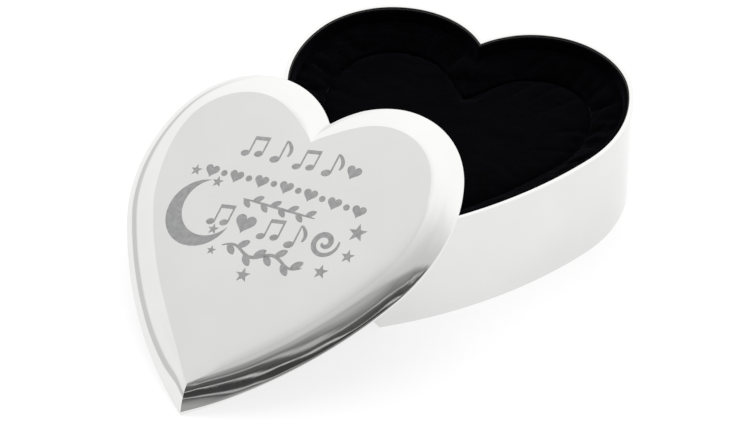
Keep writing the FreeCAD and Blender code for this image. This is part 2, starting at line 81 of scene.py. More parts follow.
# ---- plated skins, in millimetres ----
WALL_H = 38.2
WALL_T = 1.5
WALL_FOOT = ((0.25, 0.0), (0.06, 0.08), (0.0, 0.3))
WALL_FLAT_FROM = 1.5
RIM_R = 0.25
RIM_GAP = 0.2
LID_LIP = ((0.45, 0.0), (0.26, 0.05), (0.2, 0.17), (0.24, 0.34), (0.34, 0.5))
LID_LIP_H = 0.6
LID_LIP_DRAFT = 0.35
LID_BEVEL_W = 9.0
LID_BEVEL_SLOPES = (math.radians(42), math.radians(12))
LID_DOME_W = 14.0
LID_DOME_H = 0.7
LID_EDGE = 0.05
LID_SHELL_T = 1.0
LID_HEM = ((LID_EDGE + LID_SHELL_T, 0.0), (LID_EDGE + 1.3 * LID_SHELL_T, 0.15))
LID_HEM_TOP = 0.2
ABOVE_LID = 20.0
LID_ANGLES = (26.53, -7.22, -13.13)
LID_PLACE = (-36.432, -65.534, 26.462)

# The crease runs nearer to the notch and to the tip than an even border would, and further
# in on the left. Each relief is a share of the inset, and each fade is from none to full.
POINT_REACH = 7.0
NOTCH_RELIEF = 0.42
TIP_RELIEF = 0.24
LEFT_RELIEF = 0.24
LEFT_FADE_X = (0.0, 26.0)
LEFT_FADE_Y = (40.0, 10.0)

# The crease is soft at the front right, and the dome's rings turn round inside it.
SOFT_PASSES = 40
SOFT_FADE_X = (3.0, 16.0)
SOFT_FADE_Y = (30.0, 8.0)
TOP_REACH = 36.0

# ---- velvet lining, in millimetres ----
TRAY_Z = 26.7
COLLAR_OUT = 1.75
COLLAR_IN = 3.1
COLLAR_ROLL = (COLLAR_IN - COLLAR_OUT) / 2
COLLAR_EDGE = COLLAR_OUT + COLLAR_ROLL
COLLAR_TOP = 37.8
BOLSTER_W = 10.0
BOLSTER_H = 6.8
BOLSTER_GAP = 0.15
BOLSTER_CREST = 0.15
BOLSTER_FALL = 4.6
BOLSTER_SHOULDER = 1.4
BOLSTER_TOE = 0.9
PAD_EDGE = 13.5
PAD_Z = (TRAY_Z + 0.05, TRAY_Z + 2.0)
PAD_SQUARENESS = 14
LID_LINING_EDGE = 5.3
LID_LINING_Z = (0.5, 1.1)
CARD_GAP = 0.1

wall_low, wall_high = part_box("base_wall")
HEART_AT = Vector(
    ((wall_low.x + wall_high.x) / 2, (wall_low.y + wall_high.y) / 2, wall_low.z)
)
BASE_FRAME = Matrix.Translation(HEART_AT) @ Matrix.Scale(MM, 4)
LID_TURN = Euler([math.radians(a) for a in LID_ANGLES], "XYZ").to_matrix().to_4x4()
LID_FRAME = BASE_FRAME @ Matrix.Translation(LID_PLACE) @ LID_TURN


# ------------------------------------------------------------------ heart outline
def heart_arcs():
    """The right half's arcs, from the notch: centre x, centre y, radius, start and end."""
    arcs = []
    x, y = 0.0, NOTCH_Y
    for radius, start, end in zip(ARC_R, ARC_HEADINGS, ARC_HEADINGS[1:] + (None,)):
        cx = x + radius * math.sin(start)
        cy = y - radius * math.cos(start)
        if end is not None:
            x = cx - radius * math.sin(end)
            y = cy + radius * math.cos(end)
        arcs.append((cx, cy, radius, start, end))
    return arcs


ARCS = heart_arcs()


def half_outline(inset, mitred):
    """The right half of the heart moved inward by inset, from the notch to the tip.

    A mitred notch is closed with a short straight line. If not, the first arc runs on to
    the middle.
    """
    points = []
    for (cx, cy, radius, start, end), steps in zip(ARCS, ARC_STEPS):
        radius -= inset
        if not points and not mitred:
            start = math.asin(cx / radius)
        if end is None:
            end = -math.pi - math.asin(cx / radius)
        turns = np.linspace(start, end, steps + 1)
        arc = np.column_stack([cx - radius * np.sin(turns), cy + radius * np.cos(turns)])
        if not points and mitred:
            notch = np.array([0, NOTCH_Y - inset / math.cos(ARC_HEADINGS[0])])
            share = np.linspace(0, 1, MITRE_STEPS + 1)[:-1, None]
            points.append(notch + share * (arc[0] - notch))
        points.append(arc if not points or (mitred and len(points) == 1) else arc[1:])
    half = np.vstack(points)
    half[0, 0] = half[-1, 0] = 0.0
    return half


def outline(inset, mitred=True):
    """The closed heart moved inward by inset. Every outline of a kind has the same count."""
    half = half_outline(inset, mitred)
    return np.vstack([half, half[-2:0:-1] * [-1, 1]])


def tip_index(mitred=True):
    """Which point of an outline is its tip. The notch is always the first."""
    return len(half_outline(0, mitred)) - 1


def smooth_steps(low, high, value):
    """From 0 to 1 with a soft start and a soft end, where value goes from low to high."""
    share = np.clip((value - low) / (high - low), 0, 1)
    return share * share * (3 - 2 * share)


# ------------------------------------------------------------------ mesh making
def add_mesh(name, points, faces, place, sharp=()):
    """A smooth-shaded object from points in a local frame, with some of its edges sharp."""
    mesh = bpy.data.meshes.new(name)
    mesh.from_pydata([place @ Vector(p) for p in points], [], faces)
    mesh.validate()
    shell = bmesh.new()
    shell.from_mesh(mesh)
    bmesh.ops.recalc_face_normals(shell, faces=shell.faces)
    shell.to_mesh(mesh)
    shell.free()
    mesh.shade_smooth()
    wanted = {tuple(sorted(e)) for e in sharp}
    for edge in mesh.edges:
        if tuple(sorted(edge.vertices)) in wanted:
            edge.use_edge_sharp = True
    thing = bpy.data.objects.new(name, mesh)
    bpy.context.scene.collection.objects.link(thing)
    return thing


def loop_faces(rings, count):
    """Quads between rings of count points, each ring joined to the next."""
    faces = []
    for a, b in rings:
        for i in range(count):
            j = (i + 1) % count
            faces.append((a * count + i, a * count + j, b * count + j, b * count + i))
    return faces


def lofted(name, rings, place, closed, sharp_rings=(), sharp_points=()):
    """Rings of points joined in order, into a closed band or a solid capped at both ends."""
    count = len(rings[0])
    pairs = [(k, k + 1) for k in range(len(rings) - 1)]
    if closed:
        pairs.append((len(rings) - 1, 0))
    faces = loop_faces(pairs, count)
    if not closed:
        last = (len(rings) - 1) * count
        faces.append(tuple(range(count))[::-1])
        faces.append(tuple(range(last, last + count)))
    sharp = [
        (k * count + i, k * count + (i + 1) % count)
        for k in sharp_rings
        for i in range(count)
    ]
    sharp += [(a * count + i, b * count + i) for a, b in pairs for i in sharp_points]
    return add_mesh(name, np.vstack(rings), faces, place, sharp)


def raised(flat, z):
    """A flat ring of points, lifted to a height or to a height for each point."""
    return np.column_stack([flat, np.broadcast_to(z, len(flat))])


def rounded(cx, cz, radius, start, end, steps):
    """Points of a round edge as (inset, z), with its angles in degrees."""
    turns = np.radians(np.linspace(start, end, steps + 1))
    return [(cx + radius * math.cos(t), cz + radius * math.sin(t)) for t in turns]


# ------------------------------------------------------------------ plated skins
def base_wall_skin():
    """The drawn wall: a plain band with a rolled rim, closed round its thickness."""
    flat_to = WALL_H - RIM_R - RIM_GAP
    profile = list(WALL_FOOT)
    profile += [(0.0, z) for z in np.linspace(WALL_FLAT_FROM, flat_to, 9)]
    profile += rounded(RIM_R, WALL_H - RIM_R, RIM_R, 180, 90, 8)
    profile += rounded(WALL_T - RIM_R, WALL_H - RIM_R, RIM_R, 90, 0, 8)
    profile += [(WALL_T, z) for z in np.linspace(flat_to, WALL_FOOT[-1][1], 6)]
    profile += [(WALL_T - inset, z) for inset, z in WALL_FOOT[1::-1]]
    rings = [raised(outline(inset, mitred=False), z) for inset, z in profile]
    ends = (0, tip_index(mitred=False))
    return lofted("base_wall_skin", rings, BASE_FRAME, True, sharp_points=ends)


def bevel_points(steps, inward=0.0):
    """The lid's shoulder, one arc from its lip up to the crease, as (inset, z)."""
    start, end = LID_BEVEL_SLOPES
    radius = LID_BEVEL_W / (math.sin(start) - math.sin(end))
    points = []
    for slope in np.linspace(start, end, steps + 1):
        across = LID_EDGE + LID_LIP_DRAFT + radius * (math.sin(start) - math.sin(slope))
        up = LID_LIP_H + radius * (math.cos(slope) - math.cos(start))
        points.append((across + inward * math.sin(slope), up - inward * math.cos(slope)))
    return points


CREASE_INSET, CREASE_Z = bevel_points(1)[-1]


def lid_ring(inset, z):
    """A ring of the lid's shoulder, eased at the notch, at the tip and along the left."""
    flat = outline(inset)
    near = np.exp(-((flat[:, 0] / POINT_REACH) ** 2))
    flat[:, 1] += inset * near * np.where(flat[:, 1] > 0, NOTCH_RELIEF, -TIP_RELIEF)
    left = smooth_steps(*LEFT_FADE_X, -flat[:, 0]) * smooth_steps(*LEFT_FADE_Y, flat[:, 1])
    flat[:, 0] += inset * LEFT_RELIEF * left
    return raised(flat, z)


def dome_ring(share):
    """A ring of the low dome: share is 1 at the crease, and the rings turn round inward."""
    spokes = lid_ring(CREASE_INSET, 0.0)[:, :2] - HEART_MIDDLE
    reach = np.linalg.norm(spokes, axis=1)[:, None]
    kept = smooth_steps(0.0, 1.0, share)
    flat = HEART_MIDDLE + spokes / reach * share * (kept * reach + (1 - kept) * TOP_REACH)
    return raised(flat, CREASE_Z + LID_DOME_H * (1 - share**2.4))


def lid_top_rings():
    """The lid's outside from its lip to its middle, with the front right crease softened."""
    shoulder = list(LID_LIP) + bevel_points(18)
    crease = len(shoulder) - 1
    rings = [lid_ring(inset, z) for inset, z in shoulder]
    rings += [dome_ring(share) for share in np.linspace(1, 0.03, 56)[1:]]
    rings = np.array(rings)
    x, y = rings[crease, :, 0], rings[crease, :, 1]
    soft = smooth_steps(*SOFT_FADE_X, x) * smooth_steps(*SOFT_FADE_Y, y)
    heights = rings[:, :, 2]
    first = len(LID_LIP) + 2
    for _ in range(SOFT_PASSES):
        bend = (heights[first:-1] * -2 + heights[first - 1 : -2]) / 4
        bend += heights[first + 1 :] / 4
        heights[first:-1] += bend * soft
    return rings, crease


LID_TOP, LID_CREASE = lid_top_rings()


def lid_surface():
    """The lid's outside as a search tree that rays can be cast at."""
    last, count = len(LID_TOP) - 1, LID_TOP.shape[1]
    faces = loop_faces([(k, k + 1) for k in range(last)], count)
    faces.append(tuple(range(last * count, (last + 1) * count)))
    return BVHTree.FromPolygons([tuple(p) for p in LID_TOP.reshape(-1, 3)], faces)


LID_SURFACE = lid_surface()


def top_z(x, y):
    """Height of the lid's outside at a point, above the lid's bottom rim."""
    return LID_SURFACE.ray_cast((x, y, ABOVE_LID), (0.0, 0.0, -1.0))[0].z


def lid_skin():
    """The pressed lid: a rolled lip, an arched shoulder, a crease and a low dome."""
    inner = list(LID_HEM)
    inner += [point for point in bevel_points(8, LID_SHELL_T) if point[1] > LID_HEM_TOP]
    inner.append((CREASE_INSET + LID_DOME_W, CREASE_Z - LID_SHELL_T + 0.1))
    rings = [lid_ring(inset, z) for inset, z in inner[::-1]] + list(LID_TOP)
    ends = (0, tip_index())
    crease = len(inner) + LID_CREASE
    return lofted("lid_skin", rings, LID_FRAME, False, (crease,), ends)


# ------------------------------------------------------------------ etched ornament
# Plates differ a little in height, so that two that cross don't share a plane.
ETCH_LIFT = 0.035
ETCH_STEP = 0.0015
ETCH_LEVELS = 5
ETCH_ROOT = 0.12
ETCH_CELL = 2.2

MOON_AT = (-24.6, 4.6)
STARS = (
    (-33.5, 18.3, 2.1),
    (-24.1, 16.3, 2.1),
    (-17.3, 0.4, 2.0),
    (-14.3, -6.6, 1.7),
    (0.4, -11.6, 2.7),
    (25.0, -3.2, 2.6),
    (31.2, 4.2, 2.4),
    (30.6, 12.6, 3.3),
)
STAR_TILT = 8
HEARTS_Y = 20.3
GARLAND_Y = 13.2
VINE_Y = -3.9
VINE_FROM = -11.6
VINE_LONG = 30.0
VINE_WAVE = 1.3


def spin(points, degrees, centre):
    """Flat points turned by an angle, then moved so that their origin is at centre."""
    turn = math.radians(degrees)
    c, s = math.cos(turn), math.sin(turn)
    flat = np.asarray(points, float)
    return flat @ np.array([[c, s], [-s, c]]) + np.asarray(centre, float)


def oval(centre, a, b, tilt=0, steps=28):
    turns = np.linspace(0, 2 * math.pi, steps, endpoint=False)
    return spin(np.column_stack([a * np.cos(turns), b * np.sin(turns)]), tilt, centre)


def star(centre, radius, tilt=0):
    turns = math.pi / 2 + np.arange(10) * math.pi / 5
    reach = np.where(np.arange(10) % 2 == 0, radius, radius * 0.42)
    return spin(np.column_stack([reach * np.cos(turns), reach * np.sin(turns)]), tilt, centre)


def small_heart(centre, size, tilt=0):
    t = np.linspace(0, 2 * math.pi, 40, endpoint=False)
    x = np.sin(t) ** 3
    y = (13 * np.cos(t) - 5 * np.cos(2 * t) - 2 * np.cos(3 * t) - np.cos(4 * t)) / 16
    return spin(np.column_stack([x, y]) * size / 2, tilt, centre)


def leaf(centre, length, width, tilt=0):
    t = np.linspace(0, math.pi, 12)
    upper = np.column_stack([-np.cos(t) * length / 2, np.sin(t) ** 1.4 * width / 2])
    lower = upper[-2:0:-1] * [1, -1]
    return spin(np.vstack([upper, lower]), tilt, centre)


def stroke(path, width, taper=0.25):
    """A pen stroke along a path, narrower at its ends, as one closed outline."""
    path = np.asarray(path, float)
    along = np.gradient(path, axis=0)
    along /= np.linalg.norm(along, axis=1)[:, None]
    side = np.column_stack([-along[:, 1], along[:, 0]])
    share = np.linspace(0, 1, len(path))
    half = width / 2 * (taper + (1 - taper) * np.sin(math.pi * share) ** 0.6)
    edge = side * half[:, None]
    return np.vstack([path + edge, (path - edge)[::-1]])


def scroll(centre, radius, width, turns, tilt):
    t = np.linspace(0, 1, 48)
    angle = turns * 2 * math.pi * t
    reach = radius * (0.14 + 0.86 * t)
    spiral = np.column_stack([reach * np.cos(angle), reach * np.sin(angle)])
    return stroke(spin(spiral, tilt, centre), width)


def quaver(foot, height):
    """A single musical note: head, stem and flag."""
    h = height
    head = oval((0.0, 0.14 * h), 0.2 * h, 0.14 * h, 22)
    stem = [(0.13 * h, 0.16 * h), (0.2 * h, 0.16 * h), (0.2 * h, h), (0.13 * h, h)]
    t = np.linspace(0, 1, 14)
    flag = np.column_stack([0.17 * h + 0.32 * h * np.sin(t * 2.1), h - 0.62 * h * t**1.2])
    return [spin(s, 0, foot) for s in (head, stem, stroke(flag, 0.15 * h, 0.35))]


def beamed_pair(foot, height):
    """Two notes joined by a slanting beam."""
    h = height
    shapes = []
    for x, top in ((0.0, 0.9 * h), (0.56 * h, h)):
        shapes.append(oval((x, 0.13 * h + top - 0.9 * h), 0.18 * h, 0.13 * h, 22))
        low = 0.15 * h + top - 0.9 * h
        left, right = x + 0.11 * h, x + 0.18 * h
        shapes.append([(left, low), (right, low), (right, top), (left, top)])
    a, b = 0.11 * h, 0.74 * h
    shapes.append([(a, 0.76 * h), (b, 0.86 * h), (b, 1.02 * h), (a, 0.92 * h)])
    return [spin(s, 0, foot) for s in shapes]


def crescent(centre, radius, bite, shift, aim, steps=40):
    """A moon: a disc with a smaller disc bitten out of it, its horns towards aim degrees."""
    cut = (radius**2 + shift**2 - bite**2) / (2 * shift)
    horn = math.acos(cut / radius)
    inner_horn = math.acos((cut - shift) / bite)
    outer = np.linspace(horn, 2 * math.pi - horn, steps)
    inner = np.linspace(inner_horn, 2 * math.pi - inner_horn, steps)
    back = np.column_stack([radius * np.cos(outer), radius * np.sin(outer)])
    front = np.column_stack([shift + bite * np.cos(inner), bite * np.sin(inner)])
    return spin(np.vstack([back, front[-2:0:-1]]), aim, centre)


def vine_y(x):
    """Height of the vine's stem on the lid at a place across it."""
    return VINE_Y + VINE_WAVE * math.sin((x - VINE_FROM) / VINE_LONG * 4 * math.pi)


def leaves(low, high, stem_y, out, size, tilt, shift=0.0):
    """Eight leaves on alternate sides of a stem that runs along x."""
    shapes = []
    for k, x in enumerate(np.linspace(low, high, 8)):
        side = 1 if k % 2 else -1
        shapes.append(leaf((x + shift, stem_y(x) + out * side), *size, tilt * side))
    return shapes


def ornament_shapes():
    """All the outlines of the ornament, in the lid's own plane and in millimetres."""
    shapes = [crescent(MOON_AT, 12.0, 10.2, 4.0, 44)]
    shapes += [star((x, y), radius, STAR_TILT) for x, y, radius in STARS]
    # first row: a line of music
    shapes += beamed_pair((-20.0, 27.4), 8.4) + quaver((-9.0, 27.8), 8.6)
    shapes += beamed_pair((-0.6, 27.6), 8.4) + quaver((10.4, 28.0), 8.6)
    shapes.append(small_heart((19.4, 32.0), 5.4, -6))
    # second row: hearts and beads
    for k, x in enumerate(np.linspace(-28.0, 27.5, 13)):
        y = HEARTS_Y + 0.6 * math.cos(x / 9)
        shapes.append(oval((x, y), 1.1, 1.1) if k % 2 else small_heart((x, y), 5.0))
    # third row: a short garland
    shapes.append(stroke([(x, GARLAND_Y) for x in np.linspace(-12.5, 14.5, 30)], 0.9))
    shapes += leaves(-10.5, 12.5, lambda x: GARLAND_Y, 1.2, (4.0, 2.0), 38)
    # fourth row: larger notes, a heart and a scroll
    shapes += beamed_pair((-19.6, 1.6), 8.4)
    shapes.append(small_heart((-7.6, 5.4), 7.4))
    shapes += beamed_pair((-0.4, 1.4), 8.4)
    shapes += quaver((10.2, 1.2), 8.6)
    shapes.append(scroll((21.6, 6.4), 5.0, 1.9, 1.5, 200))
    # fifth row: a vine
    vine = VINE_FROM + VINE_LONG * np.linspace(0, 1, 60)
    shapes.append(stroke([(x, vine_y(x)) for x in vine], 1.2))
    shapes += leaves(-8.8, 15.6, vine_y, 1.7, (4.6, 2.4), 42, shift=0.8)
    return shapes


def lid_ornament():
    """Every shape as a thin closed plate, cut fine enough to follow the domed top."""
    points, faces = [], []
    for number, shape in enumerate(ornament_shapes()):
        flat = np.asarray(shape, float)
        n, first = len(flat), len(points)
        turn = flat[:, 0] * np.roll(flat[:, 1], -1) - flat[:, 1] * np.roll(flat[:, 0], -1)
        if turn.sum() < 0:
            flat = flat[::-1]
        lift = ETCH_LIFT + ETCH_STEP * (number % ETCH_LEVELS)
        points += [(x, y, -ETCH_ROOT) for x, y in flat] + [(x, y, lift) for x, y in flat]
        for a, b, c in tessellate_polygon([[Vector((x, y, 0)) for x, y in flat]]):
            u, v = flat[b] - flat[a], flat[c] - flat[a]
            if u[0] * v[1] < u[1] * v[0]:
                b, c = c, b
            faces.append((first + c, first + b, first + a))
            faces.append((first + n + a, first + n + b, first + n + c))
        for i in range(n):
            j = (i + 1) % n
            faces.append((first + i, first + j, first + n + j, first + n + i))
    plates = bmesh.new()
    made = [plates.verts.new(p) for p in points]
    for face in faces:
        plates.faces.new([made[i] for i in face])
    for _ in range(2):
        long = [edge for edge in plates.edges if edge.calc_length() > ETCH_CELL]
        bmesh.ops.subdivide_edges(plates, edges=long, cuts=1, use_grid_fill=True)
        bmesh.ops.triangulate(plates, faces=[f for f in plates.faces if len(f.verts) > 4])
    bmesh.ops.recalc_face_normals(plates, faces=plates.faces)
    for vert in plates.verts:
        vert.co.z += top_z(vert.co.x, vert.co.y)
    mesh = bpy.data.meshes.new("lid_ornament")
    plates.to_mesh(mesh)
    plates.free()
    mesh.transform(LID_FRAME)
    thing = bpy.data.objects.new("lid_ornament", mesh)
    bpy.context.scene.collection.objects.link(thing)
    return thing


# ------------------------------------------------------------------ velvet
FOLD_SEED = 11
rng = np.random.default_rng(FOLD_SEED)


def along_outline(points):
    """Distance along a closed ring of points, from the notch."""
    steps = np.linalg.norm(np.roll(points, -1, axis=0) - points, axis=1)
    return np.concatenate([[0], np.cumsum(steps)[:-1]]), steps.sum()


def gathers(whole, slant, count, deep, wide):
    """Irregular valleys across a strip of cloth: their places, depths, widths and leans."""
    places = (np.arange(count) + rng.uniform(-0.35, 0.35, count)) * whole / count
    deeps = deep * rng.uniform(0.3, 1.0, count)
    wides = wide * rng.uniform(0.6, 1.5, count)
    leans = slant * rng.uniform(-1.0, 1.0, count)
    return list(zip(places, deeps, wides, leans))


def folded(distance, across, whole, folds):
    """Depth of the valleys at a place: distance along the strip, and across from 0 to 1."""
    total = np.zeros_like(distance)
    for place, deep, wide, lean in folds:
        gap = (distance - place - lean * across + whole / 2) % whole - whole / 2
        total += deep / (1 + (gap / wide) ** 2) ** 1.5
    return total


def velvet_band(name, profile, folds, press, place):
    """A closed padded band: a cross-section of (inset, z, give), pressed in at its folds.

    A fold moves the band outward and down, by the two shares of its depth in press.
    """
    rings = []
    for k, (inset, z, give) in enumerate(profile):
        flat = outline(inset)
        distance, whole = along_outline(flat)
        valley = folded(distance, k / len(profile), whole, folds) * give
        inward = flat.mean(axis=0) - flat
        inward /= np.linalg.norm(inward, axis=1)[:, None]
        moved = flat - inward * (valley * press[0])[:, None]
        rings.append(raised(moved, z - valley * press[1]))
    return lofted(name, rings, place, True)


def collar_lining():
    """The velvet glued to the card collar, with a soft turned-over top edge."""
    whole = along_outline(outline(COLLAR_IN))[1]
    folds = gathers(whole, slant=3.0, count=34, deep=0.22, wide=2.2)
    foot, shoulder = TRAY_Z + CARD_GAP, COLLAR_TOP - COLLAR_ROLL
    roll = rounded(COLLAR_EDGE, shoulder, COLLAR_ROLL, 180, 0, 8)[1:-1]
    profile = [(COLLAR_OUT, foot, 0.0), (COLLAR_OUT, shoulder, 0.0)]
    profile += [(inset, z, 0.0) for inset, z in roll]
    profile += [(COLLAR_IN, z, 0.8) for z in np.linspace(shoulder - CARD_GAP, foot, 12)]
    return velvet_band("collar_lining", profile, folds, (0.9, 0.0), BASE_FRAME)


def bolster_lining():
    """The padded roll round the tray: its crest by the collar, then a long fall inward."""
    outer = COLLAR_IN + BOLSTER_GAP
    inner = outer + BOLSTER_W
    foot, crest = TRAY_Z + BOLSTER_GAP, TRAY_Z + BOLSTER_H
    whole = along_outline(outline(outer + 0.4 * BOLSTER_W))[1]
    folds = gathers(whole, slant=9.0, count=26, deep=0.9, wide=1.3)
    profile = [(outer, foot, 0.0), (outer, crest - BOLSTER_SHOULDER, 0.1)]
    for share in np.linspace(0, 1, 22):
        inset = outer + BOLSTER_GAP + (BOLSTER_W - 2 * BOLSTER_GAP) * share
        sag = 1 - (1 - share) ** 0.5 if share < BOLSTER_CREST else 0
        rise = 0.5 * (1 - min(share / BOLSTER_CREST, 1))
        z = crest - rise - BOLSTER_FALL * share**1.8 - 0.2 * sag
        profile.append((inset, z, math.sin(math.pi * min(share * 1.15, 1)) ** 0.7))
    profile.append((inner, TRAY_Z + BOLSTER_TOE, 0.0))
    profile.append((inner - 2 * BOLSTER_GAP, foot, 0.0))
    return velvet_band("bolster_lining", profile, folds, (0.0, 1.0), BASE_FRAME)


def pad_lining(name, edge, low, high, place, crown, wrinkle):
    """A thin crowned cushion in the heart's shape, with creases that run from its edge."""
    rim = outline(edge)
    reach = rim - HEART_MIDDLE
    distance, whole = along_outline(rim)
    folds = gathers(whole, slant=10.0, count=22, deep=wrinkle, wide=1.6)
    middle = (low + high) / 2
    half = (high - low) / 2
    rings, shares = [], np.linspace(0.04, 1, 26)
    for side in (-1, 1):
        for share in shares[::-side]:
            flat = HEART_MIDDLE + reach * share
            edge_turn = math.sqrt(max(1 - share**PAD_SQUARENESS, 0))
            z = np.full(len(flat), middle + side * half * edge_turn)
            if side > 0:
                valley = folded(distance, share, whole, folds) * share**2 * edge_turn
                z += crown * (1 - share**2) - valley
            rings.append(raised(flat, z))
    return lofted(name, rings, place, False)


# ------------------------------------------------------------------ velvet as cloth
# The cloth runs twenty times larger than life, where the solver's lengths suit it.
CLOTH_SCALE = 20.0
CLOTH_FRAMES = 20
CLOTH_SETTINGS = {
    "quality": 5,
    "mass": 0.3,
    "tension_stiffness": 15,
    "compression_stiffness": 15,
    "bending_stiffness": 0.4,
    "use_pressure": True,
    "uniform_pressure_force": 2.0,
}
CLOTH_CELL = 1.1
TOP_FACING = 0.45
NEIGHBOURS = 5


def even_copy(thing, grow):
    """A pad's shape remade, at the cloth's scale, from cells of one size."""
    cover = bpy.data.objects.new("cover", thing.data.copy())
    bpy.context.scene.collection.objects.link(cover)
    cover.data.transform(grow)
    remesh = cover.modifiers.new("remesh", "REMESH")
    remesh.mode = "VOXEL"
    remesh.voxel_size = CLOTH_CELL * MM * CLOTH_SCALE
    graph = bpy.context.evaluated_depsgraph_get()
    cover.data = bpy.data.meshes.new_from_object(cover.evaluated_get(graph))
    cover.modifiers.clear()
    return cover


def run_cloth(cover, spare):
    """Run the cover as cloth with some spare, held all over except on its top."""
    seat = [v.index for v in cover.data.vertices if v.normal.z < TOP_FACING]
    cover.vertex_groups.new(name="held").add(seat, 1.0, "REPLACE")
    cloth = cover.modifiers.new("cloth", "CLOTH")
    for key, value in CLOTH_SETTINGS.items():
        setattr(cloth.settings, key, value)
    cloth.settings.shrink_min = -spare
    cloth.settings.effector_weights.gravity = 0
    cloth.settings.vertex_group_mass = "held"
    cloth.collision_settings.use_collision = False
    cloth.point_cache.frame_start = 1
    cloth.point_cache.frame_end = CLOTH_FRAMES
    for frame_number in range(1, CLOTH_FRAMES + 1):
        bpy.context.scene.frame_set(frame_number)
    graph = bpy.context.evaluated_depsgraph_get()
    return np.array([v.co for v in cover.evaluated_get(graph).data.vertices])


def follow(mesh, start, move):
    """Carry a mesh along with the nearest points of the cover, never above its own top."""
    tree = KDTree(len(start))
    for k, place in enumerate(start):
        tree.insert(place, k)
    tree.balance()
    top = max(v.co.z for v in mesh.vertices)
    for vert in mesh.vertices:
        near = tree.find_n(vert.co, NEIGHBOURS)
        weights = np.array([1 / (distance + 1e-4) for _, _, distance in near])
        moves = move[[index for _, index, _ in near]]
        vert.co += Vector((moves * weights[:, None]).sum(0) / weights.sum())
        vert.co.z = min(vert.co.z, top)


def settled(thing, spare, cap_mm):
    """Crease the velvet over a pad, as cloth on an even copy that its own points follow."""
    grow = Matrix.Scale(CLOTH_SCALE, 4) @ Matrix.Translation(-HEART_AT)
    cover = even_copy(thing, grow)
    start = np.array([v.co for v in cover.data.vertices])
    move = run_cloth(cover, spare) - start
    size = np.linalg.norm(move, axis=1)[:, None]
    cap = cap_mm * MM * CLOTH_SCALE
    move *= np.tanh(size / cap) * cap / np.maximum(size, 1e-9)
    thing.data.transform(grow)
    follow(thing.data, start, move)
    thing.data.transform(grow.inverted())
    bpy.data.objects.remove(cover)
    bpy.context.scene.frame_set(1)


# ------------------------------------------------------------------ finishes
def fill_ramp(made, stops):
    """Set a colour ramp's stops from (place, value) pairs, where a value is a grey or RGB."""
    while len(made.color_ramp.elements) < len(stops):
        made.color_ramp.elements.new(0.5)
    for element, (place, value) in zip(made.color_ramp.elements, stops):
        element.position = place
        grey = isinstance(value, (int, float))
        element.color = (value, value, value, 1) if grey else (*value, 1)


class Finish:
    """A procedural material, built node by node on object coordinates in metres."""

    def __init__(self, name, colour, metallic=0.0, roughness=0.5, **settings):
        self.material = bpy.data.materials.new(name)
        self.material.use_nodes = True
        self.tree = self.material.node_tree
        self.shader = self.tree.nodes["Principled BSDF"]
        self.place = self.node("ShaderNodeTexCoord").outputs["Object"]
        self.bumps = None
        self.set("Base Color", (*colour, 1))
        self.set("Metallic", metallic)
        self.set("Roughness", roughness)
        for socket, value in settings.items():
            self.set(socket.replace("_", " "), value)

    def set(self, socket, value):
        self.shader.inputs[socket].default_value = value

    def node(self, kind, **values):
        made = self.tree.nodes.new(kind)
        for key, value in values.items():
            if key in made.inputs:
                made.inputs[key].default_value = value
            else:
                setattr(made, key, value)
        return made

    def link(self, source, target):
        self.tree.links.new(source, target)

    def noise(self, scale, detail=4.0, rough=0.55, stretch=(1, 1, 1), turn=(0, 0, 0)):
        spread = self.node("ShaderNodeMapping")
        spread.inputs["Scale"].default_value = stretch
        spread.inputs["Rotation"].default_value = turn
        made = self.node("ShaderNodeTexNoise", Scale=scale, Detail=detail, Roughness=rough)
        self.link(self.place, spread.inputs["Vector"])
        self.link(spread.outputs["Vector"], made.inputs["Vector"])
        return made.outputs["Fac"]

    def cells(self, scale):
        made = self.node("ShaderNodeTexVoronoi", Scale=scale)
        self.link(self.place, made.inputs["Vector"])
        return made.outputs["Distance"]

    def ramp(self, source, stops, socket):
        made = self.node("ShaderNodeValToRGB")
        fill_ramp(made, stops)
        self.link(source, made.inputs["Fac"])
        self.link(made.outputs["Color"], self.shader.inputs[socket])

    def colour(self, source, stops):
        self.ramp(source, stops, "Base Color")

    def gloss(self, source, stops):
        self.ramp(source, stops, "Roughness")

    def bump(self, source, height, strength):
        """Relief of a height in metres, laid over any that the finish already has."""
        made = self.node("ShaderNodeBump", Strength=strength, Distance=height)
        self.link(source, made.inputs["Height"])
        if self.bumps is not None:
            self.link(self.bumps, made.inputs["Normal"])
        self.bumps = made.outputs["Normal"]
        self.link(self.bumps, self.shader.inputs["Normal"])


def silver_plate():
    """Mirror plating: faint rolling waves, hairline marks and a breath of tarnish."""
    finish = Finish("silver_plate", (0.77, 0.77, 0.765), 1.0, 0.05)
    tones = [(0.3, (0.755, 0.755, 0.75)), (0.7, (0.785, 0.785, 0.78))]
    finish.colour(finish.noise(38, 3), tones)
    finish.gloss(finish.noise(160, 5), [(0.35, 0.035), (0.7, 0.085)])
    finish.bump(finish.noise(26, 2), 0.00035, 0.35)
    hairlines = finish.noise(900, 2, stretch=(1, 0.04, 0.04), turn=(0.3, 0.2, 0.7))
    finish.bump(hairlines, 0.000004, 0.3)
    return finish.material


def etched_plate():
    """The etched ornament: a dull grey, finely pitted."""
    finish = Finish("etched_plate", (0.33, 0.33, 0.335), 0.0, 0.75, Specular_IOR_Level=0.25)
    tones = [(0.3, (0.27, 0.27, 0.275)), (0.7, (0.36, 0.36, 0.365))]
    finish.colour(finish.noise(700, 4), tones)
    finish.bump(finish.noise(9000, 3), 0.00001, 0.6)
    return finish.material


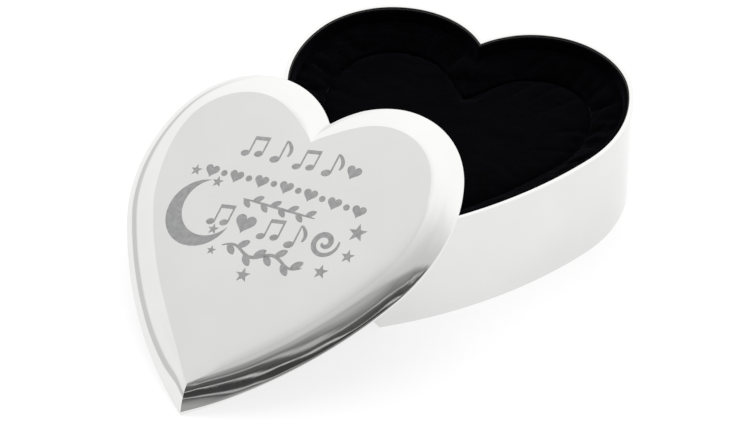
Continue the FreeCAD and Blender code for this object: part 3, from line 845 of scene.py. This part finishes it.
def velvet():
    """Black cotton velvet: short pile, brushed in drifts, a faint violet sheen."""
    finish = Finish(
        "velvet",
        (0.0006, 0.0006, 0.0010),
        0.0,
        0.95,
        Specular_IOR_Level=0.03,
        Sheen_Weight=0.02,
        Sheen_Roughness=0.35,
        Sheen_Tint=(0.62, 0.64, 1.0, 1),
    )
    drift = finish.noise(120, 5, 0.6, stretch=(1, 1.6, 1))
    finish.colour(drift, [(0.35, (0.0003, 0.0003, 0.0005)), (0.68, (0.0010, 0.0010, 0.0018))])
    finish.bump(finish.noise(260, 3), 0.0003, 0.45)
    finish.bump(finish.cells(3200), 0.00012, 0.5)
    return finish.material


def felt():
    """Pressed black felt, uneven in colour, with a short nap."""
    finish = Finish(
        "felt", (0.02, 0.02, 0.022), 0.0, 1.0, Specular_IOR_Level=0.1, Sheen_Weight=0.08
    )
    tones = [(0.3, (0.010, 0.010, 0.011)), (0.72, (0.035, 0.035, 0.038))]
    finish.colour(finish.noise(900, 6, 0.7), tones)
    finish.bump(finish.noise(1600, 6, 0.75), 0.0004, 0.7)
    return finish.material


def black_card():
    """Black millboard with its fibres showing."""
    finish = Finish("black_card", (0.045, 0.044, 0.042), 0.0, 0.8, Specular_IOR_Level=0.3)
    fibres = finish.noise(1500, 6, 0.7, stretch=(0.3, 1, 1))
    finish.colour(fibres, [(0.3, (0.032, 0.031, 0.030)), (0.7, (0.060, 0.058, 0.055))])
    finish.bump(fibres, 0.00006, 0.6)
    return finish.material


def beech():
    """Turned beech, its grain along the pillar."""
    finish = Finish("beech", (0.6, 0.45, 0.29), 0.0, 0.55)
    grain = finish.noise(420, 6, 0.6, stretch=(1, 1, 0.12))
    tones = [(0.3, (0.42, 0.28, 0.16)), (0.55, (0.60, 0.43, 0.27)), (0.8, (0.70, 0.54, 0.36))]
    finish.colour(grain, tones)
    finish.gloss(grain, [(0.3, 0.62), (0.7, 0.45)])
    finish.bump(grain, 0.0001, 0.4)
    return finish.material


def brushed_metal(name, colour, roughness, stretch, scale=1400):
    """Metal with fine marks of rolling, turning or grinding that run one way."""
    finish = Finish(name, colour, 1.0, roughness)
    marks = finish.noise(scale, 5, 0.65, stretch=stretch)
    dark = tuple(c * 0.82 for c in colour)
    light = tuple(min(c * 1.1, 1) for c in colour)
    finish.colour(finish.noise(220, 4), [(0.3, dark), (0.7, light)])
    finish.gloss(marks, [(0.3, max(roughness - 0.09, 0.05)), (0.7, roughness + 0.1)])
    finish.bump(marks, 0.00002, 0.4)
    return finish.material


def lacquered_casting():
    """Gilt lacquer over a zinc casting: slightly orange-peeled, duller in its hollows."""
    finish = Finish("lacquered_casting", (0.62, 0.51, 0.27), 1.0, 0.34)
    mottle = finish.noise(300, 4)
    finish.colour(mottle, [(0.3, (0.50, 0.40, 0.19)), (0.7, (0.70, 0.59, 0.33))])
    finish.gloss(mottle, [(0.3, 0.42), (0.7, 0.26)])
    finish.bump(finish.noise(1100, 3), 0.00005, 0.5)
    return finish.material


def ivory_plastic():
    """Moulded nylon, slightly mottled."""
    finish = Finish("ivory_plastic", (0.78, 0.74, 0.62), 0.0, 0.35)
    finish.colour(finish.noise(260, 3), [(0.3, (0.73, 0.69, 0.57)), (0.7, (0.82, 0.79, 0.68))])
    finish.gloss(finish.noise(900, 4), [(0.3, 0.28), (0.7, 0.42)])
    finish.bump(finish.noise(2200, 2), 0.00002, 0.3)
    return finish.material


SLOT_FINISH = {
    "silver_plate": silver_plate(),
    "plated_inner_metal": brushed_metal("satin_plate", (0.72, 0.72, 0.71), 0.24, (0.05, 1, 1)),
    "base_sheet": brushed_metal("rolled_sheet", (0.60, 0.60, 0.61), 0.3, (0.04, 1, 1)),
    "felt": felt(),
    "board": black_card(),
    "pillar_wood": beech(),
    "velvet": velvet(),
    "zinc_casting": lacquered_casting(),
    "bearing_steel": brushed_metal("blanked_steel", (0.58, 0.58, 0.60), 0.32, (1, 0.05, 1)),
    "spring_steel": brushed_metal("ground_steel", (0.50, 0.50, 0.53), 0.22, (1, 0.03, 1)),
    "screw_steel": brushed_metal("screw_steel", (0.62, 0.62, 0.63), 0.2, (1, 1, 1), 2600),
    "shaft_steel": brushed_metal("turned_steel", (0.60, 0.60, 0.62), 0.2, (1, 1, 0.3), 2600),
    "key_steel": brushed_metal("key_steel", (0.66, 0.66, 0.65), 0.18, (1, 0.1, 1)),
    "movement_brass": brushed_metal("movement_brass", (0.72, 0.55, 0.24), 0.26, (0.08, 1, 1)),
    "fan_plastic": ivory_plastic(),
}


# ------------------------------------------------------------------ dressing the frame
def paint(thing, material):
    """Give an object one material all over."""
    thing.data.materials.clear()
    thing.data.materials.append(material)


def dress(thing, body, slot, material, *nodes):
    """Put a finished piece on its body, in place of the CAD nodes that it stands for."""
    paint(thing, material)
    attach(thing, body)
    if nodes:
        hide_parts(*nodes)
    return thing


for part in frame["record"]["subparts"]:
    paint(frame["nodes"][part["node"]], SLOT_FINISH[part["material_slot"]])

silver = SLOT_FINISH["silver_plate"]
pile = SLOT_FINISH["velvet"]
dress(base_wall_skin(), "box", "silver_plate", silver, "base_wall")
dress(lid_skin(), "lid", "silver_plate", silver, "lid_shell")
dress(lid_ornament(), "lid", None, etched_plate())

dress(collar_lining(), "box", "velvet", pile, "collar_velvet")
bolster = bolster_lining()
settled(bolster, spare=0.16, cap_mm=1.1)
dress(bolster, "box", "velvet", pile, "rim_bolster")
pad = pad_lining("pad_lining", PAD_EDGE, *PAD_Z, BASE_FRAME, crown=1.1, wrinkle=0.9)
settled(pad, spare=0.08, cap_mm=0.8)
dress(pad, "box", "velvet", pile, "floor_pad")
lining = pad_lining("lid_lining", LID_LINING_EDGE, *LID_LINING_Z, LID_FRAME, 0.0, 0.0)
dress(lining, "lid", "velvet", pile, "lid_lining_velvet")

# ------------------------------------------------------------------ studio
# Lengths are in metres here, apart from the lens and the sensor, in millimetres.
CAMERA_TURN = math.radians(18.36)
CAMERA_RISE = math.radians(39.75)
CAMERA_ROLL = math.radians(0.32)
CAMERA_AWAY = 1.04705
CAMERA_AIM = Vector((-11.22, -31.21, 19.33)) * MM + HEART_AT
CAMERA_LENS = 156.17
CAMERA_SENSOR = 36
CAMERA_CLIP = (0.05, 20)

KEY_AT = (-0.2, 0.25, 1.4)
KEY_SIDE = 1.6
KEY_WATTS = 10.0

FLOOR_REACH = 3.0
FLOOR_DROP = 0.0001
FLOOR_GLOW = 0.81

# Directions of the sky, in the frame's axes. Brightness is 1 for an evenly lit white tent.
BACKDROP = 0.95
SKY_TINT = (1.0, 1.0, 0.995, 1)
TO_FRONT = (0.14, -0.98, 0.0)
TO_RIGHT = (1.0, -0.30, 0.15)
TO_LEFT = (-1.0, 0.0, 0.0)
TO_BACK = (0.15, 0.75, 0.6)
TO_PATCH = (-0.543, 0.03, 0.84)
UPWARD = (0.0, 0.0, 1.0)
RIPPLES = ((2.2, 0.3), (7.0, 0.12))

# Soft edges in the sky: where each starts and ends, and its values before and after.
OPENING_EDGE = (0.42, 0.49, 0.0, 1.0)
FRONT_FADE = (-0.12, 0.42, 1.0, 0.66)
RIGHT_EDGE = (0.80, 0.88, 0.0, 1.0)
BACK_RISE = (0.1, 0.9, 1.04, 1.22)
PATCH_DIP = (0.895, 0.975, 1.02, 0.85)
LOW_EDGE = (0.03, 0.17, 0.0, 1.0)
LEFT_DIP = (0.4, 0.8, 1.0, 0.70)

# The dim room in front of the tent, from low to high, with the edges of thin bright lights.
ROOM = (
    (0.30, 0.40),
    (0.60, 0.42),
    (0.655, 0.28),
    (0.70, 0.07),
    (0.715, 0.62),
    (0.728, 0.06),
    (0.79, 0.05),
    (0.802, 0.75),
    (0.815, 0.06),
    (0.855, 0.12),
    (0.868, 0.55),
    (0.882, 0.20),
    (0.94, 0.50),
)


def add_camera():
    """A long lens to the right of the front and well above, looking down at the object."""
    back = Vector(
        (
            math.sin(CAMERA_TURN) * math.cos(CAMERA_RISE),
            -math.cos(CAMERA_TURN) * math.cos(CAMERA_RISE),
            math.sin(CAMERA_RISE),
        )
    )
    camera = bpy.data.objects.new("camera", bpy.data.cameras.new("camera"))
    bpy.context.scene.collection.objects.link(camera)
    camera.data.lens = CAMERA_LENS
    camera.data.sensor_width = CAMERA_SENSOR
    camera.data.clip_start, camera.data.clip_end = CAMERA_CLIP
    camera.rotation_mode = "QUATERNION"
    aim = (-back).to_track_quat("-Z", "Y")
    camera.rotation_quaternion = aim @ Euler((0, 0, CAMERA_ROLL)).to_quaternion()
    camera.location = CAMERA_AIM + back * CAMERA_AWAY
    bpy.context.scene.camera = camera


def add_floor():
    """A plain pale sheet that glows a little, so that shadows on it stay faint."""
    mesh = bpy.data.meshes.new("floor")
    corners = [
        (x * FLOOR_REACH, y * FLOOR_REACH, 0) for x, y in ((-1, -1), (1, -1), (1, 1), (-1, 1))
    ]
    mesh.from_pydata(corners, [], [(0, 1, 2, 3)])
    floor = bpy.data.objects.new("floor", mesh)
    bpy.context.scene.collection.objects.link(floor)
    floor.location.z = cad_low.z - FLOOR_DROP
    finish = Finish("pale_floor", (0.21, 0.21, 0.21), 0.0, 0.9, Specular_IOR_Level=0.1)
    finish.colour(finish.noise(6, 2), [(0.3, (0.20, 0.20, 0.20)), (0.7, (0.22, 0.22, 0.22))])
    finish.set("Emission Color", (1, 1, 1, 1))
    finish.set("Emission Strength", FLOOR_GLOW)
    paint(floor, finish.material)


def add_key_light():
    """A large soft light high at the back left, which mirrors don't see."""
    data = bpy.data.lights.new("key_light", "AREA")
    data.shape = "RECTANGLE"
    data.size = data.size_y = KEY_SIDE
    data.energy = KEY_WATTS
    light = bpy.data.objects.new("key_light", data)
    bpy.context.scene.collection.objects.link(light)
    light.location = KEY_AT
    light.rotation_mode = "QUATERNION"
    light.rotation_quaternion = (HEART_AT - Vector(KEY_AT)).to_track_quat("-Z", "Y")
    light.visible_glossy = False


class Sky:
    """The studio's world: a brightness worked out from the direction, node by node."""

    def __init__(self):
        world = bpy.data.worlds.new("studio")
        bpy.context.scene.world = world
        world.use_nodes = True
        self.tree = world.node_tree
        self.shader = self.tree.nodes["Background"]
        self.place = self.tree.nodes.new("ShaderNodeTexCoord").outputs["Generated"]

    def combine(self, kind, first, *others):
        """Numbers or sockets, joined from the left by one kind of arithmetic."""
        total = first
        for other in others:
            made = self.tree.nodes.new("ShaderNodeMath")
            made.operation = kind
            for socket, value in zip(made.inputs, (total, other)):
                if isinstance(value, (int, float)):
                    socket.default_value = value
                else:
                    self.tree.links.new(value, socket)
            total = made.outputs[0]
        return total

    def add(self, *values):
        return self.combine("ADD", *values)

    def multiply(self, *values):
        return self.combine("MULTIPLY", *values)

    def rest_of(self, share):
        return self.combine("SUBTRACT", 1.0, share)

    def facing(self, direction):
        """How far a direction of the sky leans towards the one given, from -1 to 1."""
        made = self.tree.nodes.new("ShaderNodeVectorMath")
        made.operation = "DOT_PRODUCT"
        made.inputs[1].default_value = Vector(direction).normalized()
        self.tree.links.new(self.place, made.inputs[0])
        return made.outputs["Value"]

    def step(self, source, low, high, start, end):
        """A smooth change from start to end, where source goes from low to high."""
        made = self.tree.nodes.new("ShaderNodeMapRange")
        made.interpolation_type = "SMOOTHSTEP"
        self.tree.links.new(source, made.inputs["Value"])
        limits = {"From Min": low, "From Max": high, "To Min": start, "To Max": end}
        for key, value in limits.items():
            made.inputs[key].default_value = value
        return made.outputs["Result"]

    def ramp(self, source, stops):
        made = self.tree.nodes.new("ShaderNodeValToRGB")
        fill_ramp(made, stops)
        self.tree.links.new(source, made.inputs["Fac"])
        return made.outputs["Color"]

    def ripple(self, scale, size):
        """A slow waver about nought, so that no edge in the sky runs dead straight."""
        made = self.tree.nodes.new("ShaderNodeTexNoise")
        made.inputs["Scale"].default_value = scale
        made.inputs["Detail"].default_value = 4.0
        self.tree.links.new(self.place, made.inputs["Vector"])
        return self.multiply(self.combine("SUBTRACT", made.outputs["Fac"], 0.5), size)


def add_studio():
    """A bright tent round the object, open and dim on the side that faces -Y."""
    sky = Sky()
    wander = sky.add(*(sky.ripple(scale, size) for scale, size in RIPPLES))
    front = sky.add(sky.facing(TO_FRONT), wander)
    height = sky.add(sky.multiply(sky.add(sky.facing(UPWARD), wander), 0.5), 0.5)
    room = sky.ramp(height, ROOM)
    right = sky.step(sky.facing(TO_RIGHT), *RIGHT_EDGE)
    opening = sky.multiply(sky.step(front, *OPENING_EDGE), sky.rest_of(right))
    fade = sky.combine("MAXIMUM", sky.step(front, *FRONT_FADE), right)
    back = sky.step(sky.facing(TO_BACK), *BACK_RISE)
    above = sky.step(sky.facing(TO_PATCH), *PATCH_DIP)
    low = sky.step(sky.facing(UPWARD), *LOW_EDGE)
    dull = sky.step(sky.facing(TO_LEFT), *LEFT_DIP)
    skirt = sky.combine("MAXIMUM", low, dull)
    tent = sky.multiply(back, above, fade, skirt)
    light = sky.add(sky.multiply(tent, sky.rest_of(opening)), sky.multiply(room, opening))
    seen = sky.tree.nodes.new("ShaderNodeLightPath").outputs["Is Camera Ray"]
    unseen = sky.multiply(light, sky.rest_of(seen))
    strength = sky.add(sky.multiply(seen, BACKDROP), unseen)
    sky.tree.links.new(strength, sky.shader.inputs["Strength"])
    sky.shader.inputs["Color"].default_value = SKY_TINT


add_camera()
add_floor()
add_studio()
add_key_light()
bpy.context.scene.view_settings.view_transform = "Standard"
